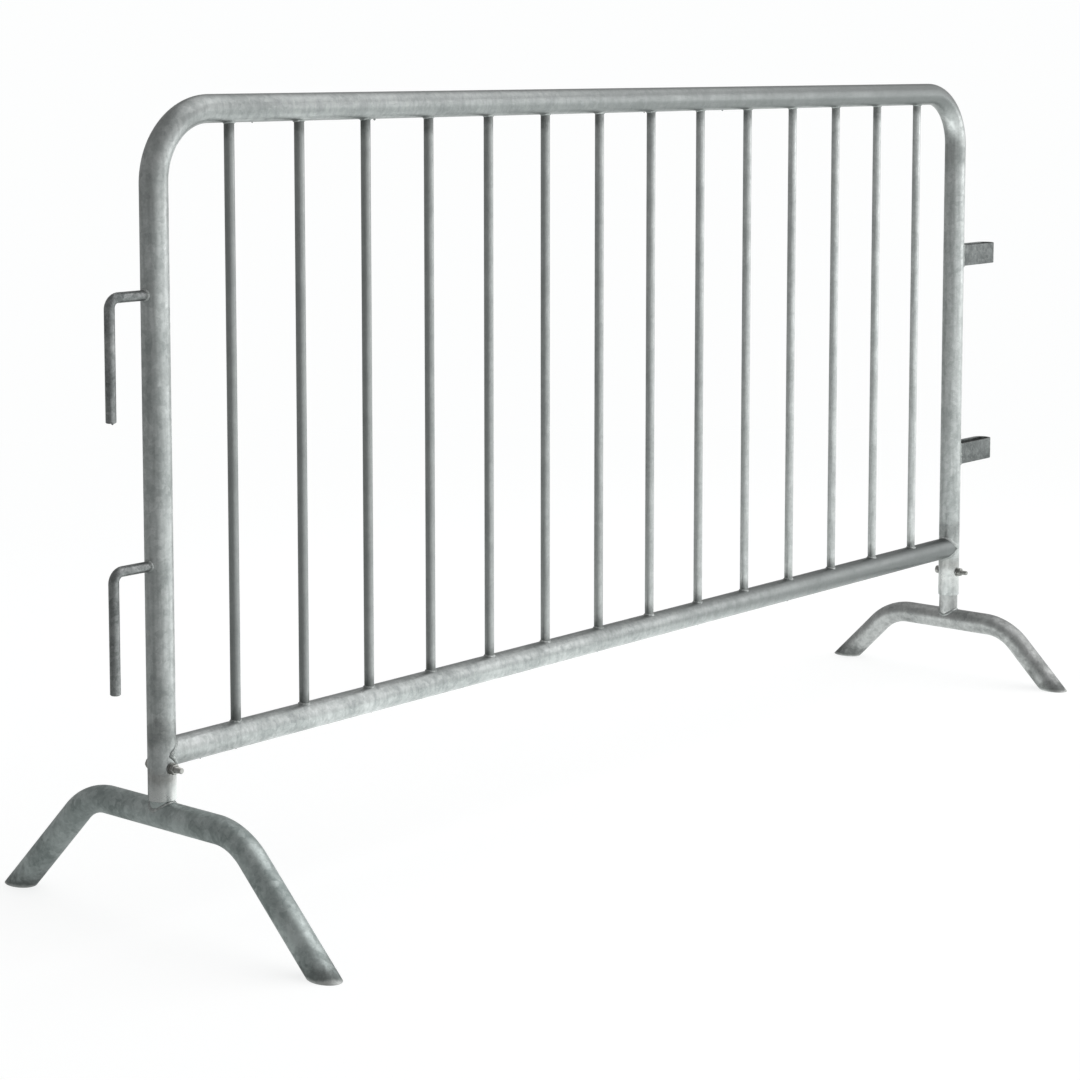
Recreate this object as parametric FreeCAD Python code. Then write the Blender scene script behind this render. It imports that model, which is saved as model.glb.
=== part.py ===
import FreeCAD, Part

import math
import os

from FreeCAD import Vector

# Steel crowd control barrier: a hot-dip galvanised tube panel that stands on two bolted-on bridge feet.
#
# X runs along the panel, from the hook end (-X) to the loop end (+X).  Y runs through the panel, with the
# nuts on the -Y side.  Z is up, and the origin is on the ground, at the centre of the whole footprint.
# Units are millimetres.  Each piece is its own solid, written to parts/NAME.step.

# ---- panel ------------------------------------------------------------------------------------------------
frame_length = 1980.0  # outside of one post to the outside of the other
frame_height = 1100.0  # ground to the top of the top rail
tube_od = 38.0  # hoop, bottom rail and feet are all this tube
tube_wall = 1.5
hoop_bend = 95.0  # centre-line radius of the two top corners
rail_height = 237.0  # ground to the centre line of the bottom rail
vent_hole = 8.0  # zinc drain hole under each end of the bottom rail
vent_from_post = 60.0  # post centre to drain hole

picket_count = 14
picket_od = 14.0
picket_wall = 1.2
picket_end_gap = 132.5  # post centre to the centre of the nearest picket
weld_gap = 0.2  # root gap that every coped end leaves for its weld

# ---- hooks and loops --------------------------------------------------------------------------------------
hook_below_top = 257.0  # top of the frame down to the shank of the upper hook
hook_pitch = 354.0  # upper hook down to the lower one
loop_below_top = 317.0  # top of the frame down to the middle of the upper loop's bar
loop_pitch = 370.0  # upper loop down to the lower one
hook_rod = 14.0
hook_reach = 77.0  # post centre to the centre of the hanging rod
hook_drop = 160.0  # shank centre line to the tip of the rod
hook_bend = 25.0
hook_tip = 2.0  # chamfer on the rod's tip
loop_bar_width = 38.0
loop_bar_thick = 5.0
loop_play = 10.0  # how much wider the eye is than the rod it takes
loop_reach = 126.0  # post centre to the outside of the loop's nose

# ---- feet -------------------------------------------------------------------------------------------------
foot_wall = 2.0
foot_bend = 95.0
foot_slope = 45.0  # degrees, each leg against the ground
high_foot_height = 155.0  # ground to the bridge's centre line: high enough for a low foot to pass under
high_foot_span = 600.0  # between the centres of the two ground ends
high_foot_shoulder = 2.0  # top of the bridge to the end of the post above it
low_foot_height = 102.0
low_foot_span = 450.0
low_foot_shoulder = 27.0
spigot_wall = 2.6
spigot_clearance = 0.65  # all round, inside the post
spigot_depth = 80.0  # how far the spigot reaches up into the post

# ---- foot bolts -------------------------------------------------------------------------------------------
bolt_above_end = 44.0  # end of the post to the bolt
bolt_diameter = 8.0
bolt_tail = 12.0  # how far the thread stands out past the nut
bolt_tip = 0.8  # chamfer on the bolt's free end
bolt_hole_play = 1.0  # the hole in the post and the notch in the spigot are this much wider than the bolt
bolt_flats = 13.0  # across the flats, head and nut alike
bolt_head_height = 5.3
nut_height = 6.5
nut_play = 0.4  # bore of nut and washer against the bolt
washer_od = 16.0
washer_thick = 1.6
washer_gap = 0.2  # between the washer and the round of the post

# ---- places that follow from the sizes above --------------------------------------------------------------
tube_radius = tube_od / 2
post_spacing = frame_length - tube_od
hook_overhang = hook_reach + hook_rod / 2
hook_post_x = hook_overhang - (hook_overhang + post_spacing + loop_reach) / 2
loop_post_x = hook_post_x + post_spacing
top_height = frame_height - tube_radius
picket_pitch = (post_spacing - 2 * picket_end_gap) / (picket_count - 1)
hook_post_end = high_foot_height + tube_radius + high_foot_shoulder
loop_post_end = low_foot_height + tube_radius + low_foot_shoulder
spigot_od = tube_od - 2 * tube_wall - 2 * spigot_clearance
bolt_hole = bolt_diameter + bolt_hole_play
eye_width = hook_rod + loop_play
upper_hook_height = frame_height - hook_below_top
upper_loop_height = frame_height - loop_below_top
washer_seat = tube_radius + washer_gap  # centre of the panel to the inner face of a washer
washer_face = washer_seat + washer_thick

UP = Vector(0, 0, 1)
ALONG = Vector(1, 0, 0)
THROUGH = Vector(0, 1, 0)


def rod(start, end, diameter):
    """A solid round bar from one point to another."""
    axis = end - start
    return Part.makeCylinder(diameter / 2, axis.Length, start, axis)


def tube(start, end, diameter, wall):
    """A round tube from one point to another."""
    return rod(start, end, diameter).cut(rod(start, end, diameter - 2 * wall))


def bent_line(corners, radius):
    """The centre line of a bent bar: straight runs between the corners, joined by tangent arcs."""
    edges = []
    run_start = corners[0]
    for before, corner, after in zip(corners, corners[1:], corners[2:]):
        back = (before - corner).normalize()
        ahead = (after - corner).normalize()
        half_angle = back.getAngle(ahead) / 2
        setback = radius / math.tan(half_angle)
        to_middle = radius / math.sin(half_angle) - radius
        arc_start = corner + back * setback
        arc_middle = corner + (back + ahead).normalize() * to_middle
        arc_end = corner + ahead * setback
        edges.append(Part.LineSegment(run_start, arc_start).toShape())
        edges.append(Part.Arc(arc_start, arc_middle, arc_end).toShape())
        run_start = arc_end
    edges.append(Part.LineSegment(run_start, corners[-1]).toShape())
    return Part.Wire(edges)


def bent_rod(corners, radius, diameter):
    """A solid round bar bent round the corners."""
    line = bent_line(corners, radius)
    section = Part.makeCircle(diameter / 2, corners[0], corners[1] - corners[0])
    return line.makePipeShell([Part.Wire(section)], True, False)


def bent_tube(corners, radius, diameter, wall):
    """A round tube bent round the corners."""
    return bent_rod(corners, radius, diameter).cut(bent_rod(corners, radius, diameter - 2 * wall))


def coping(point, direction, diameter):
    """What a tube through this point takes out of a piece that is welded to it: the tube and the root gap."""
    reach = direction * frame_length
    return rod(point - reach, point + reach, diameter + 2 * weld_gap)


def post_coping(post_x):
    return coping(Vector(post_x, 0, 0), UP, tube_od)


def save(shape, name):
    """Writes one piece as one or more closed solids."""
    solids = shape.Solids
    if not solids or any(not solid.isValid() for solid in solids):
        raise ValueError(name + " isn't a sound solid")
    piece = solids[0] if len(solids) == 1 else Part.makeCompound(solids)
    piece.exportStep("parts/" + name + ".step")
    print("%-24s %d solid(s) %9.1f mm3" % (name, len(solids), piece.Volume))


# ---- the panel --------------------------------------------------------------------------------------------
def frame_hoop():
    """One tube bent into both posts and the top rail, with a bolt hole through each post near its end."""
    hoop = bent_tube(
        [
            Vector(hook_post_x, 0, hook_post_end),
            Vector(hook_post_x, 0, top_height),
            Vector(loop_post_x, 0, top_height),
            Vector(loop_post_x, 0, loop_post_end),
        ],
        hoop_bend,
        tube_od,
        tube_wall,
    )
    for post_x, post_end in ((hook_post_x, hook_post_end), (loop_post_x, loop_post_end)):
        front = Vector(post_x, -tube_od, post_end + bolt_above_end)
        back = Vector(post_x, tube_od, post_end + bolt_above_end)
        hoop = hoop.cut(rod(front, back, bolt_hole))
    return hoop


def bottom_rail():
    """The straight tube that closes the panel, coped to both posts, with a zinc drain hole near each end."""
    rail = tube(Vector(hook_post_x, 0, rail_height), Vector(loop_post_x, 0, rail_height), tube_od, tube_wall)
    for post_x, inward in ((hook_post_x, 1), (loop_post_x, -1)):
        rail = rail.cut(post_coping(post_x))
        drain = Vector(post_x + inward * vent_from_post, 0, rail_height)
        rail = rail.cut(rod(drain - UP * tube_od, drain, vent_hole))
    return rail


def picket(number):
    """One upright bar, coped to the rails at both ends.  Numbers run from the hook end."""
    x = hook_post_x + picket_end_gap + (number - 1) * picket_pitch
    upright = tube(Vector(x, 0, rail_height), Vector(x, 0, top_height), picket_od, picket_wall)
    for height in (rail_height, top_height):
        upright = upright.cut(coping(Vector(x, 0, height), ALONG, tube_od))
    return upright


# ---- hooks and loops --------------------------------------------------------------------------------------
def hook(shank_height):
    """A bent rod: a short shank welded to the post, then a rod that hangs down to drop into the next loop."""
    rod_x = hook_post_x - hook_reach
    tip_height = shank_height - hook_drop
    bar = bent_rod(
        [
            Vector(hook_post_x, 0, shank_height),
            Vector(rod_x, 0, shank_height),
            Vector(rod_x, 0, tip_height),
        ],
        hook_bend,
        hook_rod,
    )
    tip_edges = [edge for edge in bar.Edges if edge.BoundBox.ZMax < tip_height + hook_tip / 2]
    bar = bar.makeChamfer(hook_tip, tip_edges)
    return bar.cut(post_coping(hook_post_x))


def slot_outline(nose_x, half_width):
    """A closed flat outline: from the post's centre to a round nose, 2 * half_width wide."""
    bend_x = nose_x - half_width
    low_start = Vector(loop_post_x, -half_width, 0)
    low_end = Vector(bend_x, -half_width, 0)
    high_end = Vector(bend_x, half_width, 0)
    high_start = Vector(loop_post_x, half_width, 0)
    edges = [
        Part.LineSegment(low_start, low_end).toShape(),
        Part.Arc(low_end, Vector(nose_x, 0, 0), high_end).toShape(),
        Part.LineSegment(high_end, high_start).toShape(),
        Part.LineSegment(high_start, low_start).toShape(),
    ]
    return Part.Face(Part.Wire(edges))


def loop(middle_height):
    """A flat bar bent into a U on edge, both ends welded to the post."""
    nose_x = loop_post_x + loop_reach
    outside = slot_outline(nose_x, eye_width / 2 + loop_bar_thick)
    inside = slot_outline(nose_x - loop_bar_thick, eye_width / 2)
    bar = outside.extrude(UP * loop_bar_width).cut(inside.extrude(UP * loop_bar_width))
    bar.translate(UP * (middle_height - loop_bar_width / 2))
    return bar.cut(post_coping(loop_post_x))


# ---- feet -------------------------------------------------------------------------------------------------
def foot_bridge(post_x, height, span):
    """A tube bent into a bridge: a level top, and a leg down to the ground on each side, sawn off level."""
    leg_slope = math.tan(math.radians(foot_slope))
    corner_y = span / 2 - height / leg_slope
    past_ground = 2 * tube_od
    end_y = span / 2 + past_ground / leg_slope
    bridge = bent_tube(
        [
            Vector(post_x, -end_y, -past_ground),
            Vector(post_x, -corner_y, height),
            Vector(post_x, corner_y, height),
            Vector(post_x, end_y, -past_ground),
        ],
        foot_bend,
        tube_od,
        foot_wall,
    )
    below_ground = Part.makeBox(2 * span, 2 * span, 2 * span, Vector(post_x - span, -span, -2 * span))
    return bridge.cut(below_ground)


def foot_spigot(post_x, height, post_end):
    """The upright tube that plugs into the post.  Its notch, open at the top, comes up round the bolt."""
    top = post_end + spigot_depth
    bolt_height = post_end + bolt_above_end
    spigot = tube(Vector(post_x, 0, height), Vector(post_x, 0, top), spigot_od, spigot_wall)
    spigot = spigot.cut(coping(Vector(post_x, 0, height), THROUGH, tube_od))
    notch_floor = rod(Vector(post_x, -tube_od, bolt_height), Vector(post_x, tube_od, bolt_height), bolt_hole)
    notch_corner = Vector(post_x - bolt_hole / 2, -tube_od, bolt_height)
    notch = Part.makeBox(bolt_hole, 2 * tube_od, spigot_depth, notch_corner)
    return spigot.cut(notch_floor.fuse(notch))


# ---- bolt, nut and washers --------------------------------------------------------------------------------
def hexagon(start, height):
    """A hexagonal bar along +Y with flats top and bottom, its corners turned down at both ends."""
    corner_radius = bolt_flats / math.sqrt(3)
    corners = []
    for corner in range(7):
        turn = math.radians(60 * corner)
        corners.append(start + Vector(corner_radius * math.cos(turn), 0, corner_radius * math.sin(turn)))
    bar = Part.Face(Part.makePolygon(corners)).extrude(THROUGH * height)
    turned = rod(start, start + THROUGH * height, 2 * corner_radius)
    rims = [edge for edge in turned.Edges if edge.BoundBox.YLength < 0.01]
    return bar.common(turned.makeChamfer(corner_radius - bolt_flats / 2, rims))


def bolt(post_x, height):
    """A hexagon-head bolt along Y: head at the back, threaded end at the front."""
    head_seat = Vector(post_x, washer_face, height)
    thread_end = Vector(post_x, -washer_face - nut_height - bolt_tail, height)
    shank = rod(thread_end, head_seat, bolt_diameter)
    tip = [edge for edge in shank.Edges if edge.BoundBox.YMax < thread_end.y + bolt_tip / 2]
    return shank.makeChamfer(bolt_tip, tip).fuse(hexagon(head_seat, bolt_head_height))


def washer(post_x, height, side):
    """A flat washer against the front (side -1) or the back (side +1) of the post."""
    seat = Vector(post_x, side * washer_seat, height)
    face = Vector(post_x, side * washer_face, height)
    return rod(seat, face, washer_od).cut(rod(seat, face, bolt_diameter + nut_play))


def nut(post_x, height):
    """The hexagon nut in front of the front washer."""
    front = Vector(post_x, -washer_face - nut_height, height)
    bore = rod(front, front + THROUGH * nut_height, bolt_diameter + nut_play)
    return hexagon(front, nut_height).cut(bore)


def foot(name, post_x, height, span, post_end):
    """Saves one foot and the bolt set that holds it."""
    bolt_height = post_end + bolt_above_end
    save(foot_bridge(post_x, height, span), name + "_bridge")
    save(foot_spigot(post_x, height, post_end), name + "_spigot")
    save(bolt(post_x, bolt_height), name + "_bolt")
    save(nut(post_x, bolt_height), name + "_nut")
    save(washer(post_x, bolt_height, -1), name + "_front_washer")
    save(washer(post_x, bolt_height, 1), name + "_back_washer")


def main():
    os.makedirs("parts", exist_ok=True)
    save(frame_hoop(), "frame_hoop")
    save(bottom_rail(), "bottom_rail")
    for number in range(1, picket_count + 1):
        save(picket(number), "picket_%02d" % number)
    save(hook(upper_hook_height - hook_pitch), "hook_lower")
    save(hook(upper_hook_height), "hook_upper")
    save(loop(upper_loop_height - loop_pitch), "loop_lower")
    save(loop(upper_loop_height), "loop_upper")
    foot("high_foot", hook_post_x, high_foot_height, high_foot_span, hook_post_end)
    foot("low_foot", loop_post_x, low_foot_height, low_foot_span, loop_post_end)


main()
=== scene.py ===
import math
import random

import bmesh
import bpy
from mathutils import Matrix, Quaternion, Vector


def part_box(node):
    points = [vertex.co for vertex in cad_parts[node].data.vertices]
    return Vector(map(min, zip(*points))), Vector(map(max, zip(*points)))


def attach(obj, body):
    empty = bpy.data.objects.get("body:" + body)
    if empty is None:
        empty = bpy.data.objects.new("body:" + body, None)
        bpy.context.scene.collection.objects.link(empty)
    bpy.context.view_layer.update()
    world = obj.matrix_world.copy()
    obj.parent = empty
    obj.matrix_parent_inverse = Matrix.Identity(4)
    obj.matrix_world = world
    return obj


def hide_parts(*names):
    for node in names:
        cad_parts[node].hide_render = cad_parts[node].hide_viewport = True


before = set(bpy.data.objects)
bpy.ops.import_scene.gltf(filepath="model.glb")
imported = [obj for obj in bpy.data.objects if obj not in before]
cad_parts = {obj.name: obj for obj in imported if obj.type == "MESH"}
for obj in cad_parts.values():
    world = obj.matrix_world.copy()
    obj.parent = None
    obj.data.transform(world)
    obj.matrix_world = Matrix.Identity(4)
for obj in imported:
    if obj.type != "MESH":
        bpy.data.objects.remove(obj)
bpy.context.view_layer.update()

# %% [markdown]
# # A galvanised crowd barrier
# The barrier is a tube panel on two bridge feet, dipped in molten zinc. The design file already holds
# every piece at its true size, so this lesson only adds what a design file leaves out: round, evenly bent
# tubes, weld beads, cut threads, runs of zinc, and a finish that reads as zinc and not as grey paint.

# %% [markdown]
# ## Where things are
# Each place is read from the design, so a changed size moves the looks along with it. A box around a
# straight tube gives its centre line and radius. Only what a box can't tell, such as a bend's radius, is
# written here.

# %% Places read from the design
MM = 0.001


def middle(node):
    """The centre of a design node's box."""
    low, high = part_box(node)
    return (low + high) / 2


PICKETS = sorted(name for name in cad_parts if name.startswith("picket_"))
hook_post_x = middle("high_foot_bridge").x
loop_post_x = middle("low_foot_bridge").x
rail_z = middle("bottom_rail").z
tube_radius = rail_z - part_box("bottom_rail")[0].z
top_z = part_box("frame_hoop")[1].z - tube_radius
picket_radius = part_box("picket_01")[1].y
hook_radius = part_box("hook_upper")[1].y
print("posts at x = %.3f and %.3f m" % (hook_post_x, loop_post_x))
print("rails at z = %.3f and %.3f m" % (rail_z, top_z))

# %% Sizes that a box doesn't show
tube_wall = 1.5 * MM
foot_wall = 2.0 * MM
bend_radius = 95 * MM
hole_radius = 4.5 * MM
print("the tubes bend at %.1f times their radius" % (bend_radius / tube_radius))

# %% [markdown]
# ## The camera
# A long lens from just past the hook end, a little above the top rail, gives the barrier its steep
# recession. A camera that is tilted down makes upright posts lean together. A little of the framing is
# therefore done by shifting the lens down, as a view camera does, and the rest by tilting.

# %% Camera
EYE_FROM_POST = Vector((-2.267, -2.593, 1.148))
LOOK_TURN = math.radians(40.535)
LOOK_DOWN = math.radians(5.755)
LENS_LENGTH = 88.27
LENS_SHIFT = -0.2

lens = bpy.data.cameras.new("eye")
lens.sensor_width = 36
lens.lens = LENS_LENGTH
lens.shift_y = LENS_SHIFT
eye = bpy.data.objects.new("eye", lens)
eye.location = Vector((hook_post_x, 0, 0)) + EYE_FROM_POST
eye.rotation_euler = (math.pi / 2 - LOOK_DOWN, 0, LOOK_TURN - math.pi / 2)
bpy.context.scene.collection.objects.link(eye)
bpy.context.scene.camera = eye
print("camera at", tuple(round(c, 3) for c in eye.location))

# %% [markdown]
# ## Helpers for node trees
# A material is a small graph. Every node could be made and wired by hand, four lines at a time. These
# helpers make a node with its settings in one call and join two sockets, so the graphs below read as a
# list of decisions.


# %% Make and feed a node
def add(tree, kind, **settings):
    """Makes a node. A setting named like an input fills that input, any other sets the node's property."""
    node = tree.nodes.new("ShaderNode" + kind)
    for name, value in settings.items():
        socket = node.inputs.get(name.replace("_", " "))
        if socket is None:
            setattr(node, name, value)
        else:
            socket.default_value = value
    return node


def feed(tree, operand, socket):
    """Joins another socket to this one, or sets this one to a plain value."""
    if isinstance(operand, bpy.types.NodeSocket):
        tree.links.new(operand, socket)
    elif operand is not None:
        socket.default_value = operand


print("add and feed are ready")

# %% [markdown]
# ## Sums, ranges and mixes
# Most of a graph is arithmetic. One call per sum keeps it short. A range is stretched softly, with a
# smooth step, because a hard edge in a mask shows as a line on the metal.


# %% Arithmetic on sockets
def calculate(tree, operation, first, second=None, third=None):
    """One Math node. Each operand is a socket or a plain number."""
    node = add(tree, "Math", operation=operation)
    for socket, operand in zip(node.inputs, (first, second, third)):
        feed(tree, operand, socket)
    return node.outputs[0]


def vector(tree, operation, first, second=None):
    """One Vector Math node. Returns a number for a length or a dot product, and a vector otherwise."""
    node = add(tree, "VectorMath", operation=operation)
    feed(tree, first, node.inputs[0])
    feed(tree, second, node.inputs["Scale" if operation == "SCALE" else 1])
    return node.outputs["Value" if operation in ("LENGTH", "DOT_PRODUCT") else "Vector"]


def remap(tree, value, low, high, to_low=0.0, to_high=1.0):
    """Stretches low..high to to_low..to_high, softly and clamped."""
    node = add(tree, "MapRange", interpolation_type="SMOOTHSTEP",
               From_Min=low, From_Max=high, To_Min=to_low, To_Max=to_high)
    tree.links.new(value, node.inputs["Value"])
    return node.outputs["Result"]


def blend_colours(tree, amount, first, second):
    """Mixes two colours. Each is a socket or a plain colour. Inputs 6 and 7 of a Mix node are its colours."""
    node = add(tree, "Mix", data_type="RGBA")
    for number, operand in ((0, amount), (6, first), (7, second)):
        feed(tree, operand, node.inputs[number])
    return node.outputs[2]


print("arithmetic helpers are ready")

# %% [markdown]
# ## Groups and textures
# What several finishes share is built once, as a node group, and placed in each of them with its own
# values. Everything is read at the piece's own coordinates, in metres, so a crystal has its real size on
# every piece.


# %% Groups and textures
def new_group(name, inputs, outputs):
    """An empty shader node group. Returns its tree, its input node and its output node."""
    tree = bpy.data.node_groups.new(name, "ShaderNodeTree")
    for label, kind, value in inputs:
        socket = tree.interface.new_socket(name=label, in_out="INPUT", socket_type="NodeSocket" + kind)
        if value is not None:
            socket.default_value = value
    for label, kind in outputs:
        tree.interface.new_socket(name=label, in_out="OUTPUT", socket_type="NodeSocket" + kind)
    return tree, tree.nodes.new("NodeGroupInput"), tree.nodes.new("NodeGroupOutput")


def place(tree, group, position, **values):
    """Puts a copy of a group into a material, fed with the surface position."""
    node = tree.nodes.new("ShaderNodeGroup")
    node.node_tree = group
    tree.links.new(position, node.inputs["Position"])
    for name, value in values.items():
        node.inputs[name.replace("_", " ")].default_value = value
    return node


def noise(tree, position, **settings):
    """A cloudy texture read at a position."""
    node = add(tree, "TexNoise", **settings)
    tree.links.new(position, node.inputs["Vector"])
    return node


print("group helpers are ready")

# %% [markdown]
# ## Zinc crystals
# Molten zinc freezes into flat crystals a few millimetres to a centimetre wide, and each one tilts its
# own way, so neighbours differ in brightness. A Voronoi texture gives exactly that: one random grey per
# cell. Two sizes are mixed, and the cells are warped by noise so that their borders aren't straight.

# %% Group: zinc_spangle
BORDER_WANDER = 0.9  # how far a border leaves its straight line, in crystals
FINER = 2.7  # how many of the second, smaller crystals fit across one of the first
COARSE_SHARE, FINE_SHARE = 0.6, 0.4

spangle, given, result = new_group(
    "zinc_spangle",
    [("Position", "Vector", None), ("Crystal Size", "Float", 0.008), ("Contrast", "Float", 1.0)],
    [("Tone", "Float"), ("Relief", "Float")],
)
position, crystal_size = given.outputs["Position"], given.outputs["Crystal Size"]
density = calculate(spangle, "DIVIDE", 1.0, crystal_size)
ripple = noise(spangle, position, Detail=3.0)
spangle.links.new(density, ripple.inputs["Scale"])
wander = calculate(spangle, "MULTIPLY", crystal_size, BORDER_WANDER)
warped = vector(spangle, "ADD", position, vector(spangle, "SCALE", ripple.outputs["Color"], wander))
tones = []
for finer in (1.0, FINER):
    cells = add(spangle, "TexVoronoi")
    spangle.links.new(warped, cells.inputs["Vector"])
    spangle.links.new(calculate(spangle, "MULTIPLY", density, finer), cells.inputs["Scale"])
    shade = add(spangle, "SeparateColor")
    spangle.links.new(cells.outputs["Color"], shade.inputs[0])
    tones.append(shade.outputs[0])
fine = calculate(spangle, "MULTIPLY", tones[1], FINE_SHARE)
both = calculate(spangle, "MULTIPLY_ADD", tones[0], COARSE_SHARE, fine)
spread = calculate(spangle, "MULTIPLY", calculate(spangle, "SUBTRACT", both, 0.5), given.outputs["Contrast"])
spangle.links.new(calculate(spangle, "ADD", spread, 0.5), result.inputs["Tone"])
grain = noise(spangle, position, Detail=4.0, Scale=900.0)
rise = calculate(spangle, "MULTIPLY_ADD", grain.outputs["Fac"], 0.5, both)
spangle.links.new(rise, result.inputs["Relief"])
print("zinc_spangle has", len(spangle.nodes), "nodes")

# %% [markdown]
# ## Weathering
# Outdoors the bright zinc turns to a dull grey carbonate, in patches where water stands and in streaks
# where it runs down. One noise, as large as a hand, makes the patches. A second one is squeezed across
# and stretched along the upright, which turns its blobs into runs. A third, fine one makes freckles of
# white rust.

# %% Group: zinc_weather
STREAK_STRETCH = 0.08  # how fast a streak changes along the upright, against across it

weather, given, result = new_group(
    "zinc_weather",
    [("Position", "Vector", None), ("Patch Size", "Float", 0.06), ("Streak Width", "Float", 0.006)],
    [("Patch", "Float"), ("Streak", "Float"), ("Freckle", "Float")],
)
position = given.outputs["Position"]
patches = noise(weather, position, Detail=7.0, Roughness=0.62)
weather.links.new(calculate(weather, "DIVIDE", 1.0, given.outputs["Patch Size"]), patches.inputs["Scale"])
stretched = add(weather, "Mapping", vector_type="POINT", Scale=(1.0, 1.0, STREAK_STRETCH))
weather.links.new(position, stretched.inputs["Vector"])
runs = noise(weather, stretched.outputs[0], Detail=4.0)
weather.links.new(calculate(weather, "DIVIDE", 1.0, given.outputs["Streak Width"]), runs.inputs["Scale"])
freckles = noise(weather, position, Detail=5.0, Scale=260.0, Roughness=0.7)
for label, texture, none, full in (
    ("Patch", patches, 0.36, 0.66), ("Streak", runs, 0.42, 0.7), ("Freckle", freckles, 0.55, 0.72),
):
    weather.links.new(remap(weather, texture.outputs["Fac"], none, full), result.inputs[label])
print("zinc_weather has", len(weather.nodes), "nodes")

# %% [markdown]
# ## Marks that belong to a height
# Some marks sit at a known height: the dark flux and soot round a row of welds, the dust that rain
# splashes up from the ground, and the places where something rubs. Each is a soft band around one height,
# broken up by noise, so one group serves them all.

# %% Group: height_stain
RAGGED, RAGGED_OFFSET = 1.6, -0.95  # how deep the noise bites into the band's edge

stain, given, result = new_group(
    "height_stain",
    [("Position", "Vector", None), ("Height", "Float", 0.0), ("Reach", "Float", 0.03)],
    [("Mask", "Float")],
)
position = given.outputs["Position"]
axes = add(stain, "SeparateXYZ")
stain.links.new(position, axes.inputs[0])
away = calculate(stain, "ABSOLUTE", calculate(stain, "SUBTRACT", axes.outputs["Z"], given.outputs["Height"]))
inside = calculate(stain, "SUBTRACT", 1.0, calculate(stain, "DIVIDE", away, given.outputs["Reach"]))
cloud = noise(stain, position, Detail=6.0, Scale=55.0, Roughness=0.65)
bites = calculate(stain, "MULTIPLY_ADD", cloud.outputs["Fac"], RAGGED, RAGGED_OFFSET)
stain.links.new(remap(stain, calculate(stain, "ADD", inside, bites), 0.0, 0.8), result.inputs["Mask"])
print("height_stain has", len(stain.nodes), "nodes")

# %% [markdown]
# ## Layers of a finish
# A finish is built as a painter would: a ground colour, then thin layers over it. Two layers are used
# more than once. One is painted shade: it darkens the metal towards one end of the barrier. The other
# darkens, dirties or polishes it wherever a mask says so. A rubbed spot is also smoother, and a dirty
# one rougher.

# %% Layers
# painted shade: the brightness of the darkened end, against the dull zinc
END_SHADE_SHARE = 0.55  # a dulled place's brightness against the dull zinc
END_SHADE_STARTS_OVER = 0.05


def darkened(colour, share):
    """A colour with only a share of its brightness."""
    return tuple(channel * share for channel in colour[:3]) + (1.0,)


def painted_shade_to_one_end(tree, position, colour, dull, at_hooks, at_loops, above):
    """Paints shade on a colour: darkens it by one amount at the hook post and another at the loop post, above
    a height.
    """
    axes = add(tree, "SeparateXYZ")
    tree.links.new(position, axes.inputs[0])
    along = remap(tree, axes.outputs["X"], hook_post_x, loop_post_x, at_hooks, at_loops)
    high = remap(tree, axes.outputs["Z"], above, above + END_SHADE_STARTS_OVER)
    return blend_colours(tree, calculate(tree, "MULTIPLY", along, high), colour, darkened(dull, END_SHADE_SHARE))


def layer(tree, look, mask, strength, paint, roughening):
    """Lays a paint over a look, which is a colour and a roughness, and returns the new look."""
    colour, rough = look
    amount = calculate(tree, "MULTIPLY", mask, strength)
    if roughening:
        rough = calculate(tree, "MULTIPLY_ADD", amount, roughening, rough)
    return blend_colours(tree, amount, colour, paint), rough


print("layers are ready")

# %% [markdown]
# ## Galvanised steel
# The metal is one material with different settings for each kind of piece. Crystals and patches choose
# between a bright and a dull zinc, streaks, freckles and marks lie over it, and the same values make
# bright crystals a little glossier than dull ones. The relief is shallow: you see it only where a
# highlight breaks up.

# %% Material maker
RUBBED = (0.62, 0.63, 0.62, 1.0)
FRECKLES = 0.28
STREAK_SHADE, FRECKLE_SHADE = 0.55, 0.6  # their brightness against the dull zinc
TONE_GLOSS = 0.16  # how much smoother the brightest crystal is than the dullest
STAIN_ROUGHENS, RUB_POLISHES = 0.2, -0.14
RELIEF_DEPTH = 0.6 * MM


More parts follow.
